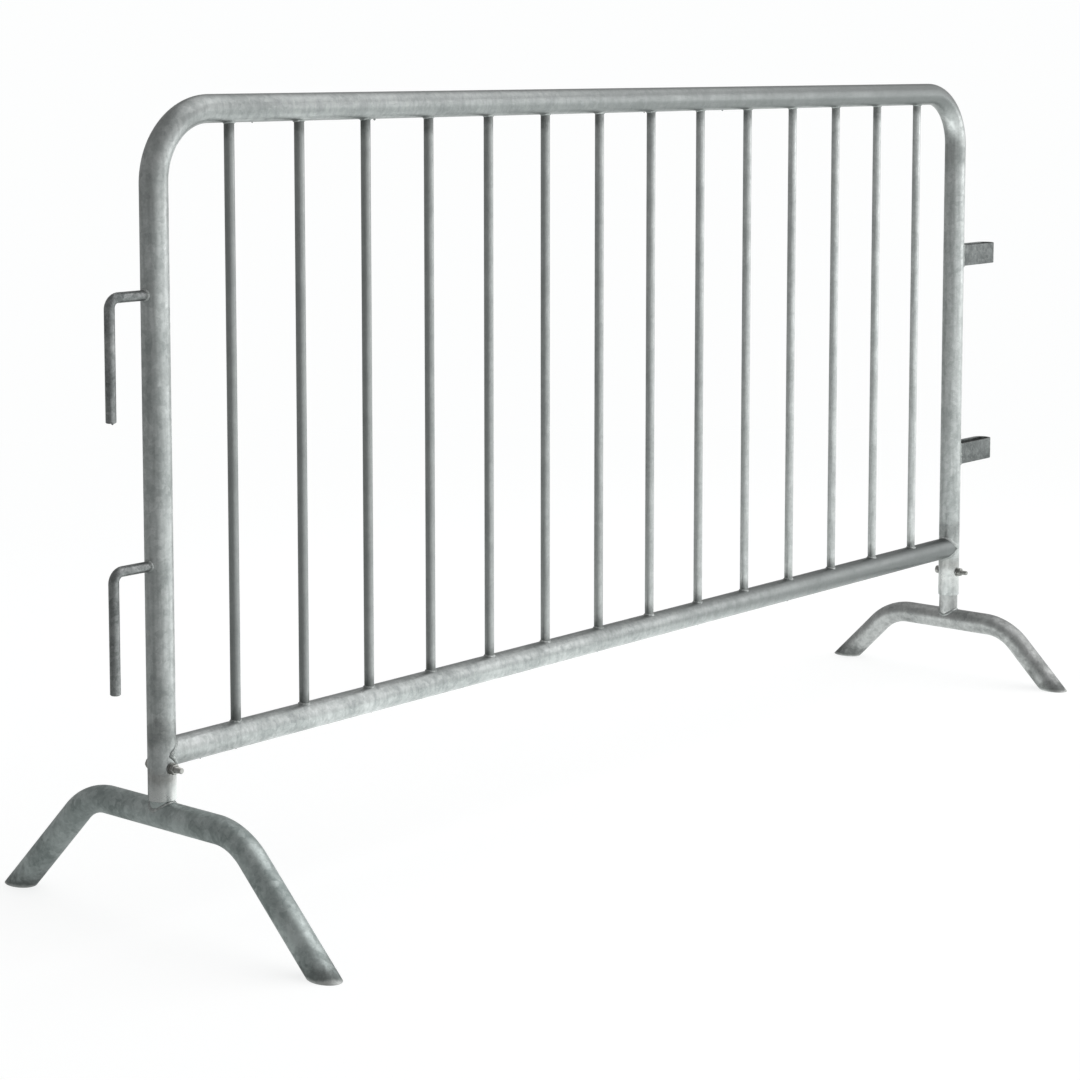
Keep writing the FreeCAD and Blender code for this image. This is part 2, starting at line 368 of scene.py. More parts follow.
def galvanised(name, bright, dull, crystal=0.008, contrast=0.8, weathered=0.5, streaks=0.3,
               stains=(), rubs=(), gloss=0.38, relief=0.2, metal=0.85, end_shade=None, end_shade_above=-1.0):
    """Hot-dipped zinc. bright and dull are its two colours. stains is a list of (colour, height, reach,
    strength), and rubs is a list of (height, reach, strength) where something rubs it bright. end_shade is
    painted shade: how far it darkens at the hook end and at the loop end, above the height end_shade_above."""
    material = bpy.data.materials.new(name)
    material.use_nodes = True
    tree = material.node_tree
    surface = tree.nodes["Principled BSDF"]
    position = add(tree, "TexCoord").outputs["Object"]
    crystals = place(tree, spangle, position, Crystal_Size=crystal, Contrast=contrast)
    wear = place(tree, weather, position)
    patchy = calculate(tree, "MULTIPLY", wear.outputs["Patch"], weathered)
    patchy = calculate(tree, "SUBTRACT", patchy, weathered / 2)
    tone = calculate(tree, "SUBTRACT", crystals.outputs["Tone"], patchy)
    colour = blend_colours(tree, tone, dull, bright)
    # painted shade, darker towards one end of the barrier
    if end_shade:
        colour = painted_shade_to_one_end(tree, position, colour, dull, *end_shade, end_shade_above)
    rough = calculate(tree, "MULTIPLY_ADD", tone, -TONE_GLOSS, gloss + TONE_GLOSS / 2)
    look = layer(tree, (colour, rough), wear.outputs["Streak"], streaks, darkened(dull, STREAK_SHADE), 0.0)
    look = layer(tree, look, wear.outputs["Freckle"], FRECKLES, darkened(dull, FRECKLE_SHADE), 0.0)
    marks = [(*mark, STAIN_ROUGHENS) for mark in stains] + [(RUBBED, *rub, RUB_POLISHES) for rub in rubs]
    for paint, height, reach, strength, roughening in marks:
        mask = place(tree, stain, position, Height=height, Reach=reach).outputs["Mask"]
        look = layer(tree, look, mask, strength, paint, roughening)
    bump = add(tree, "Bump", Strength=relief, Distance=RELIEF_DEPTH)
    tree.links.new(crystals.outputs["Relief"], bump.inputs["Height"])
    for source, label in ((look[0], "Base Color"), (look[1], "Roughness"), (bump.outputs[0], "Normal")):
        tree.links.new(source, surface.inputs[label])
    surface.inputs["Metallic"].default_value = metal
    return material


print("the material maker is ready")

# %% [markdown]
# ## The panel's finishes
# The hoop, the bottom rail and the uprights went through one bath. The rails are darker towards the loop
# end and the uprights towards the hook end, and that darkening is painted shade. Soot lies round the welds,
# and a fainter dark band lies round the lower ends of the top bends. Water from the bolts leaves a faint
# rust tint, and the foot that goes in and out has rubbed the post bright just below the bolts.

# %% Finishes of the panel
SOOT = (0.085, 0.092, 0.088, 1.0)
RUST = (0.23, 0.15, 0.11, 1.0)
bolt_level = (middle("high_foot_nut").z + middle("low_foot_nut").z) / 2
hoop_zinc = galvanised(
    "hoop_zinc", (0.56, 0.58, 0.575, 1), (0.33, 0.352, 0.348, 1), contrast=0.7,
    # painted shade: the top rail darkens towards the loop end
    end_shade=(0.5, 1.0), end_shade_above=top_z - 0.06,
    stains=[
        (SOOT, rail_z + 0.03, 0.035, 0.45),
        # a darker band round the lower ends of the top bends, where no weld lies
        (SOOT, top_z - 0.11, 0.06, 0.22),
        (RUST, bolt_level, 0.02, 0.16),
    ],
    rubs=[(bolt_level - 0.025, 0.035, 0.8)],
)
# painted shade: the bottom rail darkens towards the loop end
rail_zinc = galvanised(
    "rail_zinc", (0.52, 0.54, 0.535, 1), (0.31, 0.332, 0.328, 1), contrast=0.7, end_shade=(0.0, 1.0),
)
# painted shade: the uprights darken towards the hook end
picket_zinc = galvanised(
    "picket_zinc", (0.66, 0.68, 0.675, 1), (0.40, 0.42, 0.416, 1),
    crystal=0.006, contrast=0.5, end_shade=(0.8, 0.0),
    stains=[(SOOT, rail_z + tube_radius, 0.03, 0.6), (SOOT, top_z - tube_radius, 0.035, 0.6)],
)
print("panel finishes:", hoop_zinc.name, rail_zinc.name, picket_zinc.name)

# %% [markdown]
# ## The other finishes
# Hooks are dark zinc. The loops are darker still, and that is painted shade: their faces lie in shadow,
# and the dark finish stands in for it. A hook is a little brighter where a neighbour's loop rubs on it. The
# two feet were dipped apart, so their zinc differs, and both are dirty near the ground and worn bright on
# the rim that they stand on. The bolts are plated, which leaves a finer and more even skin than a bath does.

# %% Finishes of hooks, loops, feet, welds and fasteners
hook_zinc = galvanised(
    "hook_zinc", (0.32, 0.33, 0.33, 1), (0.13, 0.14, 0.14, 1), crystal=0.006,
    rubs=[(middle("loop_lower").z, 0.022, 0.2), (middle("loop_upper").z, 0.022, 0.2)],
)
# painted shade: the loops are this dark to stand in for the shadow that they lie in
loop_zinc_painted_shade = galvanised("loop_zinc_painted_shade", (0.19, 0.202, 0.2, 1), (0.08, 0.088, 0.087, 1), crystal=0.007)
FOOT_COLOURS = {
    "high_foot": ((0.51, 0.56, 0.55, 1), (0.285, 0.324, 0.317, 1)),
    "low_foot": ((0.47, 0.48, 0.475, 1), (0.26, 0.268, 0.265, 1)),
}
foot_zinc = {}
for foot, (fresh, worn) in FOOT_COLOURS.items():
    foot_zinc[foot] = galvanised(
        foot + "_zinc", fresh, worn, crystal=0.011, weathered=0.7, streaks=0.15,
        stains=[(SOOT, 0.0, 0.045, 0.7)], rubs=[(0.0, 0.007, 0.7)], gloss=0.46, relief=0.25,
    )
weld_zinc = galvanised("weld_zinc", (0.50, 0.52, 0.51, 1), (0.20, 0.22, 0.215, 1), crystal=0.003, relief=0.3)
plated = galvanised(
    "dull_plated", (0.50, 0.50, 0.48, 1), (0.26, 0.262, 0.25, 1), crystal=0.002, contrast=0.5,
    streaks=0.0, relief=0.05, metal=1.0,
)
print("materials:", [m.name for m in bpy.data.materials])

# %% [markdown]
# ## The finish on the design's own pieces
# A piece whose shape is right as designed keeps its mesh, and only gets its zinc: the uprights, the
# bottom rail, the spigots and the washers. The others get it too, and are replaced further down.


# %% Give the design's pieces their finish
def finish_of(node_name):
    """The finish for a design piece, from its name."""
    if node_name in PICKETS:
        return picket_zinc
    if node_name.endswith(("bridge", "spigot")):
        return foot_zinc[node_name.rsplit("_", 1)[0]]
    family = node_name.split("_")[0]
    return {"frame": hoop_zinc, "bottom": rail_zinc, "hook": hook_zinc, "loop": loop_zinc_painted_shade}.get(family, plated)


for node_name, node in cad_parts.items():
    node.data.materials.clear()
    node.data.materials.append(finish_of(node_name))
print(len(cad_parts), "design pieces have their finish")

# %% [markdown]
# ## Skins
# Nearly every shape here is a row of rings with a skin of quads between them: a tube, a bead of weld, a
# bolt. The same could be had from a curve with a bevel, but a ring can be squeezed, tapered or cut off at
# a slant, and a bevel can't. One helper joins the rings, closes the row or caps it, turns the faces
# outwards and marks the hard edges, so that everything else can be smooth.


# %% Skin helper
def join_rings(shell, rings, closed):
    """Adds the quads between neighbouring rings. A closed row joins its last ring to its first, an open row
    is capped at both ends."""
    rows = [[shell.verts.new(point) for point in ring] for ring in rings]
    around = len(rows[0])
    for first, second in zip(rows, rows[1:] + rows[:1] if closed else rows[1:]):
        for i in range(around):
            j = (i + 1) % around
            shell.faces.new((first[i], first[j], second[j], second[i]))
    if not closed:
        shell.faces.new(rows[0])
        shell.faces.new(rows[-1])


def settle(name, shell, sharp):
    """Turns a bmesh into an object. Edges where the faces bend by more than sharp degrees stay hard."""
    bmesh.ops.recalc_face_normals(shell, faces=shell.faces)
    for face in shell.faces:
        face.smooth = True
    for edge in shell.edges:
        edge.smooth = not edge.is_manifold or edge.calc_face_angle(0) < math.radians(sharp)
    mesh = bpy.data.meshes.new(name)
    shell.to_mesh(mesh)
    shell.free()
    piece = bpy.data.objects.new(name, mesh)
    bpy.context.scene.collection.objects.link(piece)
    return piece


def skin(name, rings, closed=False, sharp=35):
    """A mesh object from one row of rings."""
    shell = bmesh.new()
    join_rings(shell, rings, closed)
    return settle(name, shell, sharp)


print("the skin helper is ready")

# %% [markdown]
# ## Dressing a piece
# Every new piece gets a finish and the body that it moves with, and the design pieces that it stands for
# are then hidden.


# %% Dress helper
def dress(piece, body, finish, slot_name, *stands_for):
    """Gives a new piece its finish and its body, and hides the design pieces that it stands for. slot_name is
    not used.
    """
    piece.data.materials.append(finish)
    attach(piece, body)
    if stands_for:
        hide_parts(*stands_for)
    print("%-22s %6d faces" % (piece.name, len(piece.data.polygons)))
    return piece


UP, ALONG, THROUGH = Vector((0, 0, 1)), Vector((1, 0, 0)), Vector((0, 1, 0))
print("the panel runs along", tuple(ALONG), "and its bolts go through along", tuple(THROUGH))

# %% [markdown]
# ## Centre lines
# A bent tube is straight runs and arcs. Its line is walked once, and each station on it knows its place,
# its direction, the way to the middle of its bend, and how deep in the bend it is.


# %% Centre lines
def bend(before, corner, after, radius, steps=26):
    """The arc that rounds one corner: stations of (point, direction, way to the bend's middle, depth)."""
    incoming = (corner - before).normalized()
    outgoing = (after - corner).normalized()
    turn = incoming.angle(outgoing)
    setback = radius * math.tan(turn / 2)
    inward = (outgoing - incoming).normalized()
    centre = corner + inward * radius / math.cos(turn / 2)
    axis = incoming.cross(outgoing).normalized()
    start = corner - incoming * setback - centre
    stations = []
    for k in range(steps + 1):
        share = k / steps
        arm = start.copy()
        arm.rotate(Quaternion(axis, turn * share))
        depth = math.sin(math.pi * share)
        stations.append((centre + arm, axis.cross(arm).normalized(), -arm.normalized(), depth))
    return stations


def bent_line(corners, radius, stops=()):
    """Stations along straight runs joined by arcs. stops are distances from each end where the straight run
    gets a station of its own."""
    first_way = (corners[1] - corners[0]).normalized()
    last_way = (corners[-1] - corners[-2]).normalized()
    stations = [(corners[0] + first_way * stop, first_way, Vector(), 0.0) for stop in (0.0, *stops)]
    for before, corner, after in zip(corners, corners[1:], corners[2:]):
        stations += bend(before, corner, after, radius)
    stations += [(corners[-1] - last_way * stop, last_way, Vector(), 0.0) for stop in (*reversed(stops), 0.0)]
    return stations


right_angle = bent_line([Vector(), UP, UP + ALONG], bend_radius)
print("a line with one right angle has", len(right_angle), "stations")

# %% [markdown]
# ## Bent tube
# A tube that is bent on a press doesn't stay quite round: the bend squeezes it flat by a few hundredths,
# and its inner side gathers into faint waves. The design can't carry that, so the three bent tubes are
# made again here along the same centre lines. The ring at each station is squeezed by how deep in a bend
# it is.


# %% Ring of a tube
def tube_ring(station, across, radius, squeeze, wave=0.0, sides=56):
    """One ring round a station. across is at right angles to the whole line's plane. wave dents the inner
    side of the bend."""
    point, along, inward, depth = station
    side = across.cross(along)
    ring = []
    for k in range(sides):
        turn = 2 * math.pi * k / sides
        out = side * math.cos(turn) + across * math.sin(turn)
        towards_middle = out.dot(inward)
        reach = radius * (1 - squeeze * depth * abs(towards_middle)) if depth else radius
        reach -= wave * max(0.0, towards_middle) ** 4
        ring.append(point + out * reach)
    return ring


print("a ring has", len(tube_ring(right_angle[0], THROUGH, tube_radius, 0.0)), "points")

# %% [markdown]
# ## A tube with its ends
# A sawn tube has its sharp edges knocked off. Each end therefore has four rims, with a small lip between
# them: the outside, the two edges of the cut, and the bore. The feet are sawn off level with the ground,
# so their rims are slid along the leg until they lie level. The tube is one closed row of rings, out
# along the outside and back along the bore.

# %% Bent tube
BEND_SQUEEZE = 0.035
WAVE_HEIGHT = 0.22 * MM
WAVE_HALF_LENGTH = 2.6  # in stations
LIP = 0.35 * MM


def soft_end(along, outer, inner, level_cut):
    """Four rims that round one end off: the outside, the two edges of the cut, and the bore."""
    steps = [(b - a).normalized() * LIP for a, b in zip(outer, inner)]
    rims = [
        [point + along * LIP for point in outer],
        [point + step for point, step in zip(outer, steps)],
        [point - step for point, step in zip(inner, steps)],
        [point + along * LIP for point in inner],
    ]
    if level_cut:
        heights = (LIP, 0.0, 0.0, LIP)
        rims = [[p - along * ((p.z - height) / along.z) for p in rim] for rim, height in zip(rims, heights)]
    return rims


def bent_tube(name, corners, across, bend_at, wall, stops=(), level_cut=False):
    """A tube with wall thickness and softened ends. level_cut saws both ends off level with the ground."""
    line = bent_line(corners, bend_at, stops)
    outer, inner = [], []
    for number, station in enumerate(line):
        wave = WAVE_HEIGHT * station[3] * (0.5 + 0.5 * math.cos(number * math.pi / WAVE_HALF_LENGTH))
        outer.append(tube_ring(station, across, tube_radius, BEND_SQUEEZE, wave))
        inner.append(tube_ring(station, across, tube_radius - wall, BEND_SQUEEZE, wave))
    start = soft_end(line[0][1], outer[0], inner[0], level_cut)
    end = soft_end(-line[-1][1], outer[-1], inner[-1], level_cut)
    rings = [start[1], start[0]] + outer[1:-1] + end + inner[-2:0:-1] + [start[3], start[2]]
    return skin(name, rings, closed=True)


print("a bend squeezes the tube by %.1f mm" % (2 * tube_radius * BEND_SQUEEZE / MM))

# %% [markdown]
# ## A drill
# A round hole could be modelled into the rings, but a Boolean modifier does it with one plain drill. The
# modifier is applied at once, and the drill is thrown away.

# %% Drill
DRILL_SIDES = 32


def drill(piece, start, end, radius):
    """Cuts a round hole from start to end."""
    ways = (end - start).to_track_quat("Z", "Y")
    turns = [2 * math.pi * k / DRILL_SIDES for k in range(DRILL_SIDES)]
    rim = [ways @ Vector((radius * math.cos(turn), radius * math.sin(turn), 0)) for turn in turns]
    bit = skin("drill", [[point + spot for spot in rim] for point in (start, end)])
    cut = piece.modifiers.new("hole", "BOOLEAN")
    cut.operation = "DIFFERENCE"
    cut.solver = "EXACT"
    cut.object = bit
    bpy.context.view_layer.update()
    drilled = bpy.data.meshes.new_from_object(piece.evaluated_get(bpy.context.evaluated_depsgraph_get()))
    piece.modifiers.clear()
    piece.data = drilled
    bpy.data.objects.remove(bit)


print("the foot bolts go through holes of %.1f mm" % (2 * hole_radius / MM))

# %% [markdown]
# ## Frame hoop
# One tube makes both posts and the top rail. Near its lower ends it is drilled for the foot bolts. A hole
# cut into a long thin face spoils its smooth shading from end to end, so the tube gets two extra rings
# close above and below each hole, which keep the damage to a few millimetres.

# %% Frame hoop
FEET = {"high_foot": hook_post_x, "low_foot": loop_post_x}
BOLT_ABOVE_END = 44 * MM
HOLE_MARGINS = (-12 * MM, -6 * MM, 6 * MM, 12 * MM)
bolt_z = {foot: middle(foot + "_nut").z for foot in FEET}
hoop_corners = [
    Vector((hook_post_x, 0, bolt_z["high_foot"] - BOLT_ABOVE_END)),
    Vector((hook_post_x, 0, top_z)),
    Vector((loop_post_x, 0, top_z)),
    Vector((loop_post_x, 0, bolt_z["low_foot"] - BOLT_ABOVE_END)),
]
beside_holes = [BOLT_ABOVE_END + margin for margin in HOLE_MARGINS]
hoop = bent_tube("hoop", hoop_corners, THROUGH, bend_radius, tube_wall, beside_holes)
for foot, post_x in FEET.items():
    past_tube = 2 * tube_radius * THROUGH
    hole_middle = Vector((post_x, 0, bolt_z[foot]))
    drill(hoop, hole_middle - past_tube, hole_middle + past_tube, hole_radius)
dress(hoop, "panel", hoop_zinc, "hoop", "frame_hoop")

# %% [markdown]
# ## Hooks
# A hook is one length of round rod, bent cold round a thin pin. The bend is so tight that the rod
# flattens a little on its inside and outside. The tip is sawn off square, and its sharp rim is ground to
# a small cone, which catches the light. The same stations and rings as for the tubes make it, only
# without a bore.

# %% Hooks
HOOK_BEND = 14 * MM
HOOK_FLATTENING = 0.06
HOOK_SIDES = 40
TIP_CONE = 1.2 * MM


def hook_rod(name):
    """A bent rod, from the wall of the post to its free tip."""
    low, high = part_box(name)
    rod_x, shank_z = low.x + hook_radius, high.z - hook_radius
    corners = [Vector((high.x, 0, shank_z)), Vector((rod_x, 0, shank_z)), Vector((rod_x, 0, low.z))]
    line = bent_line(corners, HOOK_BEND, stops=[TIP_CONE])
    rings = [tube_ring(station, THROUGH, hook_radius, HOOK_FLATTENING, sides=HOOK_SIDES) for station in line]
    tip = corners[-1]
    rings[-1] = [tip + (point - tip) * (1 - TIP_CONE / hook_radius) for point in rings[-1]]
    return skin(name + "_rod", rings)


for name in ("hook_lower", "hook_upper"):
    dress(hook_rod(name), "panel", hook_zinc, "hook", name)

# %% [markdown]
# ## Feet
# Each foot is a length of the same tube, bent down at both ends and sawn off level, so that it stands on
# two oval rims. Its legs slope at 45 degrees. Its level top and its spread are read from the design's
# box.


# %% Feet
def foot_bridge(foot, post_x):
    """The bent tube of one foot, sawn off where it meets the ground."""
    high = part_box(foot + "_bridge")[1]
    level = high.z - tube_radius
    reach = high.y - tube_radius * math.sqrt(2)
    knee = reach - level
    corners = [Vector((post_x, y, z)) for y, z in ((-reach, 0), (-knee, level), (knee, level), (reach, 0))]
    return bent_tube(foot + "_tube", corners, ALONG, bend_radius, foot_wall, level_cut=True)


for foot, post_x in FEET.items():
    dress(foot_bridge(foot, post_x), foot, foot_zinc[foot], "foot", foot + "_bridge")

# %% [markdown]
# ## Loops
# A loop is flat bar bent into a U on its edge. Rolled bar has soft edges and bent bar has a true round
# nose, and both catch light, so the bar is made again as a rounded section that follows the U. Its two
# ends are trimmed to the round of the post, and go a little way into its wall, under the weld.

# %% Loops
LOOPS = ("loop_lower", "loop_upper")
BAR_THICKNESS = 5 * MM
BAR_EDGE = 1.1 * MM
INTO_WALL = 0.3 * MM
NOSE_STEPS = 40


def bar_section(thick, tall, soft):
    """A rectangle with rounded corners: (offset through the thickness, offset up)."""
    outline = []
    for turn, (across, up) in enumerate(((1, 1), (-1, 1), (-1, -1), (1, -1))):
        for k in range(5):
            angle = math.radians(90 * turn + 22.5 * k)
            outline.append((
                across * (thick / 2 - soft) + soft * math.cos(angle),
                up * (tall / 2 - soft) + soft * math.sin(angle),
            ))
    return outline


def flat_loop(name):
    """One loop, from the design's box: the U lies level, and the bar stands on edge."""
    low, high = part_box(name)
    bend_at = high.y - BAR_THICKNESS / 2
    nose = Vector((high.x - BAR_THICKNESS / 2 - bend_at, 0, 0))
    line = [(Vector((loop_post_x, bend_at, 0)), THROUGH)]
    for k in range(NOSE_STEPS + 1):
        angle = math.pi / 2 - math.pi * k / NOSE_STEPS
        out = Vector((math.cos(angle), math.sin(angle), 0))
        line.append((nose + out * bend_at, out))
    line.append((Vector((loop_post_x, -bend_at, 0)), -THROUGH))
    level = Vector((0, 0, (low.z + high.z) / 2))
    section = bar_section(BAR_THICKNESS, high.z - low.z, BAR_EDGE)
    rings = [[point + level + out * across + UP * up for across, up in section] for point, out in line]
    for ring in (rings[0], rings[-1]):
        for corner in ring:
            corner.x = loop_post_x + math.sqrt(tube_radius ** 2 - corner.y ** 2) - INTO_WALL
    return skin(name + "_bar", rings, sharp=50)


for name in LOOPS:
    dress(flat_loop(name), "panel", loop_zinc_painted_shade, "loop", name)

# %% [markdown]
# ## Where two tubes meet
# A weld bead follows the exact curve where two round tubes meet, which looks like a saddle. At each point
# of the curve the bead has to lean halfway between the two surfaces, so each station keeps both surfaces'
# outward ways.


# %% Saddle curve
def saddle(centre, main_way, branch_way, main_radius, branch_radius, count):
    """Where a branch tube meets a main tube: a ring of (point, branch's outward way, main's outward way)."""
    third = branch_way.cross(main_way)
    ring = []
    for k in range(count):
        angle = 2 * math.pi * k / count
        branch_out = main_way * math.cos(angle) + third * math.sin(angle)
        sideways = branch_radius * math.sin(angle)
        climb = math.sqrt(max(main_radius ** 2 - sideways ** 2, 0.0))
        main_out = (third * sideways + branch_way * climb) / main_radius
        ring.append((centre + branch_out * branch_radius + branch_way * climb, branch_out, main_out))
    return ring


dip = tube_radius - math.sqrt(tube_radius ** 2 - picket_radius ** 2)
print("round an upright the curve dips by %.2f mm" % (dip / MM))

# %% [markdown]
# ## Weld beads
# A welder runs one bead round each joint. It is a row of small overlapping puddles, so it has a ripple
# every millimetre or two, it swells and thins, and it is thickest where its end runs over its start. The
# ripples are bent back at the bead's sides, like the wake of a boat.

# %% Rings of a bead
BEAD_SIDES = 12
BEAD_HEIGHT = 0.62  # against its half width
RIPPLE_SPACING = 0.55  # in bead sizes
RIPPLE_DEPTH = 0.07
WAKE = 1.3
SWELL_LEAST, SWELL_MOST = 0.02, 0.09
OVERLAP_SWELL, OVERLAP_REACH = 0.22, 1.2
FEWEST_RIPPLES = 8


def bead_rings(stations, leg, chance):
    """Rings of weld round a closed row of stations."""
    count = len(stations)
    gaps = [(stations[(k + 1) % count][0] - stations[k][0]).length for k in range(count)]
    whole = sum(gaps)
    ripples = max(FEWEST_RIPPLES, round(whole / (RIPPLE_SPACING * leg)))
    start = chance.uniform(0, 1)
    swell = []
    for order in (2, 3, 5, 9):
        swell.append((order, chance.uniform(SWELL_LEAST, SWELL_MOST), chance.uniform(0, 2 * math.pi)))
    travelled = 0.0
    rings = []
    for k, (point, branch_out, main_out) in enumerate(stations):
        ahead = (stations[(k + 1) % count][0] - stations[k - 1][0]).normalized()
        lean = (branch_out + main_out).normalized()
        spread = ahead.cross(lean).normalized()
        share = travelled / whole
        thicker = sum(depth * math.sin(order * 2 * math.pi * share + phase) for order, depth, phase in swell)
        overlap = min(abs(share - start), 1 - abs(share - start)) * whole
        size = leg * (1 + thicker) * (1 + OVERLAP_SWELL * math.exp(-(overlap / (OVERLAP_REACH * leg)) ** 2))
        ring = []
        for step in range(BEAD_SIDES):
            angle = 2 * math.pi * step / BEAD_SIDES
            wake = ripples * 2 * math.pi * share + WAKE * abs(math.sin(angle))
            ripple = 1 + RIPPLE_DEPTH * math.cos(wake)
            out = lean * math.cos(angle) * BEAD_HEIGHT + spread * math.sin(angle)
            ring.append(point + out * size * ripple)
        rings.append(ring)
        travelled += gaps[k]
    return rings


print("a bead is a ring of", BEAD_SIDES, "sides at each station")

# %% [markdown]
# ## Families of beads
# The beads of one kind of joint go into one mesh, which keeps the list of pieces short. A bead has no
# hard edge anywhere, so its whole skin is smooth.


# %% Weld
def weld(name, body, slot_name, seams, leg, seed):
    """All the beads of one family as one piece. seams is a list of closed rows of stations."""
    chance = random.Random(seed)
    shell = bmesh.new()
    for stations in seams:
        join_rings(shell, bead_rings(stations, leg, chance), closed=True)
    return dress(settle(name, shell, sharp=180), body, weld_zinc, slot_name)


print("every bead is made of", weld_zinc.name)

# %% [markdown]
# ## Welds on the tubes
# Each upright has a bead at both ends, the bottom rail one at each post, each hook one, and each foot's
# spigot one on its tube. A larger joint needs more stations, so that its ripples stay as fine.

# %% Welds on the tubes
SMALL_SEAM, SPIGOT_SEAM, RAIL_SEAM = 150, 360, 420
picket_x = [middle(picket).x for picket in PICKETS]
for name, slot_name, level, way, seed in (
    ("picket_welds_low", "rail", rail_z, UP, 1), ("picket_welds_top", "hoop", top_z, -UP, 2),
):
    places = [Vector((x, 0, level)) for x in picket_x]
    seams = [saddle(spot, ALONG, way, tube_radius, picket_radius, SMALL_SEAM) for spot in places]
    weld(name, "panel", slot_name, seams, 2.3 * MM, seed)
seams = []
for x, way in ((hook_post_x, ALONG), (loop_post_x, -ALONG)):
    seams.append(saddle(Vector((x, 0, rail_z)), UP, way, tube_radius, tube_radius, RAIL_SEAM))
weld("rail_welds", "panel", "rail", seams, 3.2 * MM, 3)
seams = []
for hook in ("hook_lower", "hook_upper"):
    shank_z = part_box(hook)[1].z - hook_radius
    seams.append(saddle(Vector((hook_post_x, 0, shank_z)), UP, -ALONG, tube_radius, hook_radius, SMALL_SEAM))
weld("hook_welds", "panel", "hook", seams, 2.8 * MM, 4)
for seed, (foot, post_x) in enumerate(FEET.items(), 5):
    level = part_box(foot + "_bridge")[1].z - tube_radius
    spigot_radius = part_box(foot + "_spigot")[1].y
    seam = saddle(Vector((post_x, 0, level)), THROUGH, UP, tube_radius, spigot_radius, SPIGOT_SEAM)
    weld(foot + "_weld", foot, "foot", [seam], 2.6 * MM, seed)

# %% [markdown]
# ## Welds on the loops
# The bar's ends meet the post side on, so the seam is a rectangle laid on the round of the post. It needs
# its own row of stations, and then the same bead. The bead turns each corner over a few stations.

# %% Loop welds
STEPS_ACROSS_BAR, STEPS_UP_BAR = 12, 90
CORNER_STEPS = 3


def bar_seam(level, bar_y, thick, tall):
    """A closed row of stations round the end of one bar, on the surface of the post."""
    corners = [(bar_y - thick / 2, -tall / 2), (bar_y + thick / 2, -tall / 2),
               (bar_y + thick / 2, tall / 2), (bar_y - thick / 2, tall / 2)]
    outs = [-UP, THROUGH, UP, -THROUGH]
    stations = []
    for k in range(4):
        (y0, z0), (y1, z1) = corners[k], corners[(k + 1) % 4]
        steps = STEPS_UP_BAR if k % 2 else STEPS_ACROSS_BAR
        for step in range(steps):
            share = step / steps
            y, z = y0 + (y1 - y0) * share, z0 + (z1 - z0) * share
            x = math.sqrt(tube_radius ** 2 - y ** 2)
            turning = max(0.0, 1 - share * steps / CORNER_STEPS)
            out = (outs[k] * (1 - turning / 2) + outs[k - 1] * turning / 2).normalized()
            stations.append((Vector((loop_post_x + x, y, level + z)), out, Vector((x, y, 0)).normalized()))
    return stations


seams = []
for name in LOOPS:
    low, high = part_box(name)
    for way in (-1, 1):
        bar_y = way * (high.y - BAR_THICKNESS / 2)
        seams.append(bar_seam((low.z + high.z) / 2, bar_y, BAR_THICKNESS, high.z - low.z))
weld("loop_welds", "panel", "loop", seams, 2.4 * MM, 7)

# %% [markdown]
# ## Drips of zinc
# As the panel is lifted out of the bath, the last zinc gathers at the lowest edges and freezes there as
# small drops. Each is a little turned shape: a skirt that runs into the surface, and half an egg below
# it.


# %% Drips
SKIRT = ((1.45, 0.25), (1.12, 0.0))  # girth and height, against the drop's radius
EGG_STARTS = 0.25  # how far down, against the drop's radius
EGG_TURN = math.radians(88)
SMALLEST, LARGEST = 1.1, 2.0  # radius of a drop in millimetres
SHORTEST, LONGEST = 0.7, 1.3  # length of its egg, against its radius


def drop_rings(top, radius, length, sides=12, steps=8):
    """The rings of a drop that hangs from the point top."""
    profile = [(girth * radius, height * radius) for girth, height in SKIRT]
    for step in range(steps):
        angle = EGG_TURN * step / (steps - 1)
        profile.append((radius * math.cos(angle), -EGG_STARTS * radius - length * math.sin(angle)))
    return [
        [top + Vector((girth * math.cos(turn), girth * math.sin(turn), drop))
         for turn in (2 * math.pi * k / sides for k in range(sides))]
        for girth, drop in profile
    ]


def drips(name, finish, slot_name, tops, seed):
    """A family of drops on the panel as one piece. Each drop has its own size."""
    chance = random.Random(seed)
    shell = bmesh.new()
    for top in tops:
        radius = chance.uniform(SMALLEST, LARGEST) * MM
        length = chance.uniform(SHORTEST, LONGEST) * radius
        join_rings(shell, drop_rings(top, radius, length), closed=False)
    return dress(settle(name, shell, sharp=60), "panel", finish, slot_name)


print("a drop has", len(drop_rings(Vector(), 1.5 * MM, 1.5 * MM)), "rings")

# %% [markdown]
# ## Where the drips hang
# They hang under the bottom rail, at every second upright and beside the two vent holes, under the top
# rail between the uprights, and at the tips of the hooks. The places are drawn from a seeded generator,
# so that they are the same on every run.

# %% Places of the drips
VENT_FROM_POST = 60 * MM
BESIDE_VENT = 5 * MM
SUNK_IN = 0.1 * MM  # how far the skirt's middle is inside the metal
DRIP_FREE_END = 0.15
place_chance = random.Random(11)
by_vents = [hook_post_x + VENT_FROM_POST + BESIDE_VENT, loop_post_x - VENT_FROM_POST - BESIDE_VENT]
rail_drops = []
for x in picket_x[::2] + by_vents:
    spot = x + place_chance.uniform(-4, 4) * MM
    rail_drops.append(Vector((spot, place_chance.uniform(-1, 1) * MM, rail_z - tube_radius + SUNK_IN)))
drips("rail_drips", rail_zinc, "rail", rail_drops, 12)
top_drops = []
for _ in range(6):
    x = place_chance.uniform(hook_post_x + DRIP_FREE_END, loop_post_x - DRIP_FREE_END)
    if min(abs(x - picket) for picket in picket_x) > 2 * picket_radius:
        top_drops.append(Vector((x, 0, top_z - tube_radius + SUNK_IN)))
